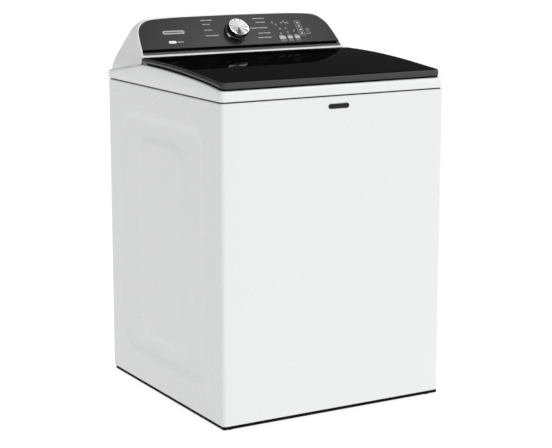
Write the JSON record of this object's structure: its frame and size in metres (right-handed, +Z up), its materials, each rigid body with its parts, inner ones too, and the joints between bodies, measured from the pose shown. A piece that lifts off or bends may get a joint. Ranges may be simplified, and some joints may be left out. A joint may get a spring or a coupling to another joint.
{
  "type": "top load washing machine",
  "caption": "Free-standing top load washer with a dark glass lid, a sloping dark control panel with a chrome knob, and a suspended tub with basket and agitator.",
  "frame": {"origin": "on the floor under the middle of the whole machine", "axes": "+X to the right of someone facing the front, +Y to the back, +Z up"},
  "size_m": [0.692, 0.708, 1.0535],
  "materials": {
    "white_enamel": "smooth gloss enamel",
    "white_moulded": "gloss",
    "dark_panel": "satin gloss, faint graphite metallic",
    "dark_frame": "satin",
    "dark_glass": "polished tinted tempered glass",
    "chrome_knob": "polished with turned facets",
    "dark_chrome": "polished smoked chrome",
    "silver_button": "satin silver",
    "smoked_lens": "clear smoked",
    "lamp_white": "diffused lamp",
    "board_green": "solder mask",
    "black_moulded": "fine texture",
    "black_steel": "semi-gloss paint",
    "galvanised": "galvanised sheet",
    "stainless": "brushed stainless",
    "steel": "machined",
    "spring_steel": "drawn wire",
    "cast_alloy": "die cast",
    "tub_plastic": "fibre-filled moulding",
    "grey_moulded": "satin",
    "agitator_plastic": "satin moulding",
    "rubber": "matt",
    "belt_rubber": "ribbed",
    "grey_rubber": "corrugated"
  },
  "bodies": {
    "cabinet": {"cabinet_wrap": "white_enamel", "rear_panel": "galvanised", "base_frame": "black_steel", "corner_braces": "galvanised", "suspension_rods": "steel", "suspension_springs": "spring_steel", "top_panel": "white_moulded", "bleach_cup": "grey_moulded", "lid_bumpers": "rubber", "lid_hinge_brackets": "steel", "lid_lock": "black_moulded", "console_body": "white_moulded", "console_fascia": "dark_panel", "status_window": "smoked_lens", "selector_ring": "dark_chrome", "control_board": "board_green", "status_lamps": "lamp_white", "pressure_sensor": "grey_moulded", "drain_outlet": "black_moulded", "inlet_valve": "grey_moulded", "fill_spout": "tub_plastic", "power_gland": "black_moulded", "front_badge": "black_moulded", "panel_screws": "steel"},
    "lid": {"lid_frame": "dark_frame", "lid_glass": "dark_glass", "lid_hinge_pins": "steel"},
    "lock_bolt": {"lid_lock_bolt": "steel"},
    "knob": {"selector_knob": "chrome_knob"},
    "button_left": {"option_button_left": "silver_button"},
    "button_middle": {"option_button_middle": "silver_button"},
    "button_right": {"option_button_right": "silver_button"},
    "button_start": {"start_button": "silver_button"},
    "tub": {"outer_tub": "tub_plastic", "tub_cover": "tub_plastic", "tub_bearings": "steel", "tub_seal": "rubber", "gearcase": "cast_alloy", "drive_belt": "belt_rubber", "drive_motor": "black_steel", "clutch_actuator": "grey_moulded", "run_capacitor": "cast_alloy", "drain_pump": "black_moulded", "drain_hose": "grey_rubber"},
    "basket": {"basket_hub": "cast_alloy", "wash_basket": "stainless", "balance_ring": "grey_moulded"},
    "agitator": {"wash_plate": "agitator_plastic", "agitator": "agitator_plastic", "agitator_cap": "agitator_plastic", "drive_shaft": "steel", "planet_gears": "black_moulded"},
    "pulley": {"drive_pulley": "black_moulded"},
    "rotor": {"motor_rotor": "steel", "motor_pulley": "black_moulded"},
    "impeller": {"pump_impeller": "grey_moulded"},
    "foot_fl": {"foot_front_left": "black_moulded"},
    "foot_fr": {"foot_front_right": "black_moulded"},
    "foot_rl": {"foot_rear_left": "black_moulded"},
    "foot_rr": {"foot_rear_right": "black_moulded"}
  },
  "joints": [
    {"name": "lid_hinge", "type": "hinge", "parent": "cabinet", "child": "lid", "pos_m": [0, 0.113, 0.936], "axis": [-1, 0, 0], "range_deg": [0, 100]},
    {"name": "lock_bolt_slide", "type": "slide", "parent": "cabinet", "child": "lock_bolt", "axis": [1, 0, 0], "range_m": [0, 0.007]},
    {"name": "knob_turn", "type": "hinge", "parent": "cabinet", "child": "knob", "pos_m": [-0.006, 0.18988, 1.00388], "axis": [0, -0.7071, 0.7071], "continuous": true},
    {"name": "button_left_press", "type": "slide", "parent": "cabinet", "child": "button_left", "axis": [0, 0.7071, -0.7071], "range_m": [0, 0.0015], "stiffness_N_per_m": 400, "springref_m": -0.0006},
    {"name": "button_middle_press", "type": "slide", "parent": "cabinet", "child": "button_middle", "axis": [0, 0.7071, -0.7071], "range_m": [0, 0.0015], "stiffness_N_per_m": 400, "springref_m": -0.0006},
    {"name": "button_right_press", "type": "slide", "parent": "cabinet", "child": "button_right", "axis": [0, 0.7071, -0.7071], "range_m": [0, 0.0015], "stiffness_N_per_m": 400, "springref_m": -0.0006},
    {"name": "button_start_press", "type": "slide", "parent": "cabinet", "child": "button_start", "axis": [0, 0.7071, -0.7071], "range_m": [0, 0.0015], "stiffness_N_per_m": 400, "springref_m": -0.0006},
    {"name": "tub_bounce", "type": "slide", "parent": "cabinet", "child": "tub", "axis": [0, 0, 1], "range_m": [-0.03, 0.02], "stiffness_N_per_m": 16000, "springref_m": 0.0195, "deforming": ["suspension_springs", "drain_hose"]},
    {"name": "basket_spin", "type": "hinge", "parent": "tub", "child": "basket", "pos_m": [0, -0.033, 0.2], "axis": [0, 0, 1], "continuous": true},
    {"name": "agitator_turn", "type": "hinge", "parent": "tub", "child": "agitator", "pos_m": [0, -0.033, 0.2], "axis": [0, 0, 1], "continuous": true},
    {"name": "pulley_turn", "type": "hinge", "parent": "tub", "child": "pulley", "pos_m": [0, -0.033, 0.077], "axis": [0, 0, 1], "continuous": true},
    {"name": "rotor_turn", "type": "hinge", "parent": "tub", "child": "rotor", "pos_m": [-0.12, 0.082, 0.077], "axis": [0, 0, 1], "continuous": true},
    {"name": "impeller_turn", "type": "hinge", "parent": "tub", "child": "impeller", "pos_m": [0.15, -0.163, 0.127], "axis": [0, 0, 1], "continuous": true},
    {"name": "foot_fl_level", "type": "slide", "parent": "cabinet", "child": "foot_fl", "axis": [0, 0, -1], "range_m": [0, 0.015]},
    {"name": "foot_fr_level", "type": "slide", "parent": "cabinet", "child": "foot_fr", "axis": [0, 0, -1], "range_m": [0, 0.015]},
    {"name": "foot_rl_level", "type": "slide", "parent": "cabinet", "child": "foot_rl", "axis": [0, 0, -1], "range_m": [0, 0.015]},
    {"name": "foot_rr_level", "type": "slide", "parent": "cabinet", "child": "foot_rr", "axis": [0, 0, -1], "range_m": [0, 0.015]}
  ],
  "couplings": [
    {"joint": "pulley_turn", "follows": "agitator_turn", "ratio": 5},
    {"joint": "rotor_turn", "follows": "agitator_turn", "ratio": 12.5}
  ]
}
